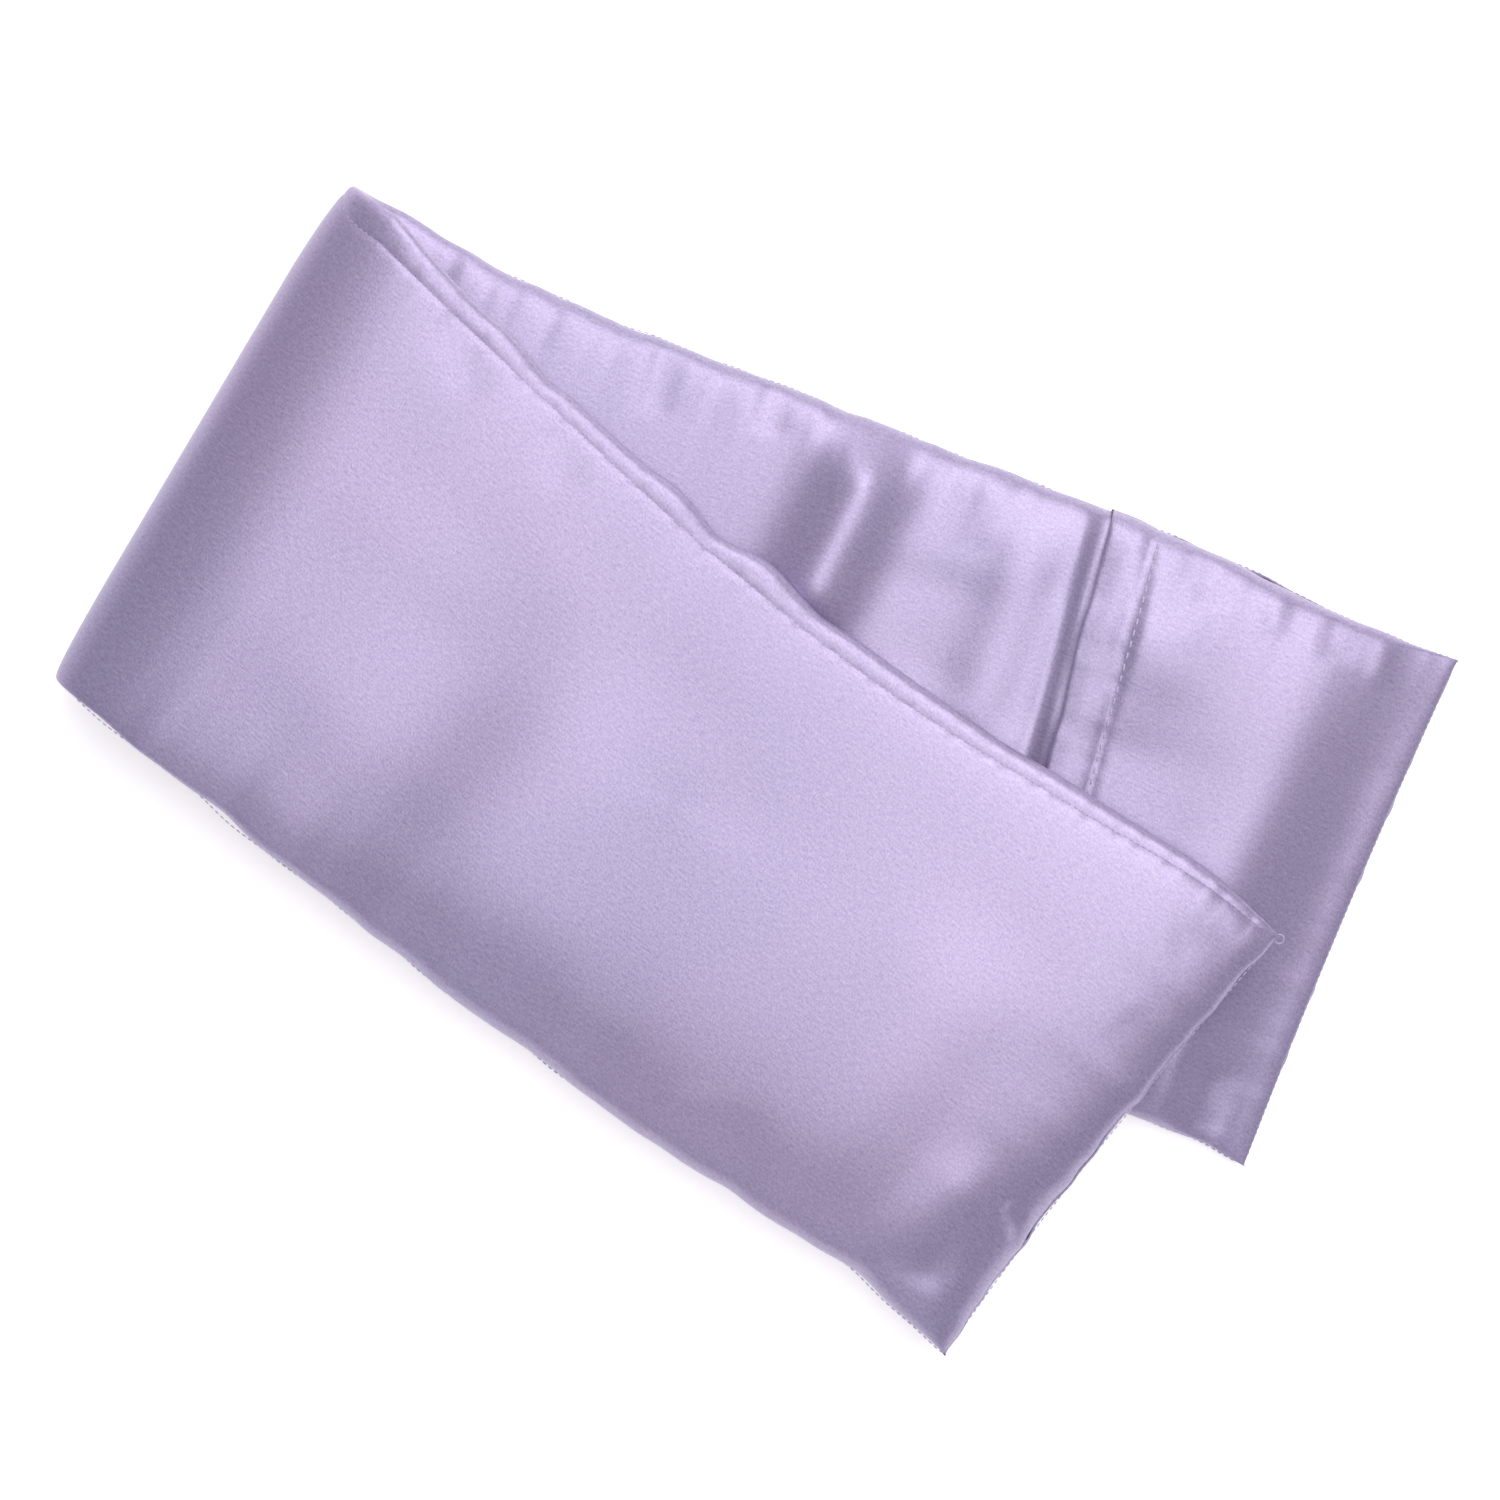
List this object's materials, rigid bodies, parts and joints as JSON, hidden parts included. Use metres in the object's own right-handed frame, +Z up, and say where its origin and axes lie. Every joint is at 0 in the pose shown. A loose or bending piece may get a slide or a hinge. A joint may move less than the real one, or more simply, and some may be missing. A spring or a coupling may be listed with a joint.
{
  "type": "eye pillow",
  "caption": "Long satin eye pillow folded once in half, with an envelope opening, an inner pouch and a seed fill.",
  "frame": {"origin": "middle of the folded pillow's box, on the surface it lies on", "axes": "+Z up, +X from the fold to the free ends, +Y towards the far seam"},
  "size_m": [0.2692, 0.1804, 0.028],
  "materials": {
    "lilac_satin": "satin",
    "pouch_cotton": "matt",
    "flax_seed": "satin",
    "lilac_thread": "satin"
  },
  "bodies": {
    "lower_half": {"lower_front_panel": "lilac_satin", "lower_back_panel": "lilac_satin", "opening_flap": "lilac_satin", "flap_hem_turn": "lilac_satin", "flap_hem_thread": "lilac_thread", "lower_seam_thread": "lilac_thread", "lower_pouch": "pouch_cotton", "lower_seed_fill": "flax_seed"},
    "fold_segment_1": {"fold_segment_1_front_panel": "lilac_satin", "fold_segment_1_back_panel": "lilac_satin", "fold_segment_1_pouch": "pouch_cotton", "fold_segment_1_seed_fill": "flax_seed"},
    "fold_segment_2": {"fold_segment_2_front_panel": "lilac_satin", "fold_segment_2_back_panel": "lilac_satin", "fold_segment_2_pouch": "pouch_cotton", "fold_segment_2_seed_fill": "flax_seed"},
    "fold_segment_3": {"fold_segment_3_front_panel": "lilac_satin", "fold_segment_3_back_panel": "lilac_satin", "fold_segment_3_pouch": "pouch_cotton", "fold_segment_3_seed_fill": "flax_seed"},
    "upper_half": {"upper_front_panel": "lilac_satin", "upper_back_panel": "lilac_satin", "upper_seam_thread": "lilac_thread", "rolled_seam_thread": "lilac_thread", "corner_thread_tail": "lilac_thread", "upper_pouch": "pouch_cotton", "upper_seed_fill": "flax_seed"}
  },
  "joints": [
    {"name": "fold_hinge_1", "type": "hinge", "parent": "lower_half", "child": "fold_segment_1", "pos_m": [-0.12589, -0.00254, 0.00107], "axis": [0, -1, 0], "range_deg": [0, 45]},
    {"name": "fold_hinge_2", "type": "hinge", "parent": "fold_segment_1", "child": "fold_segment_2", "pos_m": [-0.13347, -0.00254, 0.00864], "axis": [0, -1, 0], "range_deg": [0, 45]},
    {"name": "fold_hinge_3", "type": "hinge", "parent": "fold_segment_2", "child": "fold_segment_3", "pos_m": [-0.13347, -0.00254, 0.01936], "axis": [0, -1, 0], "range_deg": [0, 45]},
    {"name": "fold_hinge_4", "type": "hinge", "parent": "fold_segment_3", "child": "upper_half", "pos_m": [-0.12589, -0.00254, 0.02693], "axis": [0, -1, 0], "range_deg": [0, 45]}
  ]
}
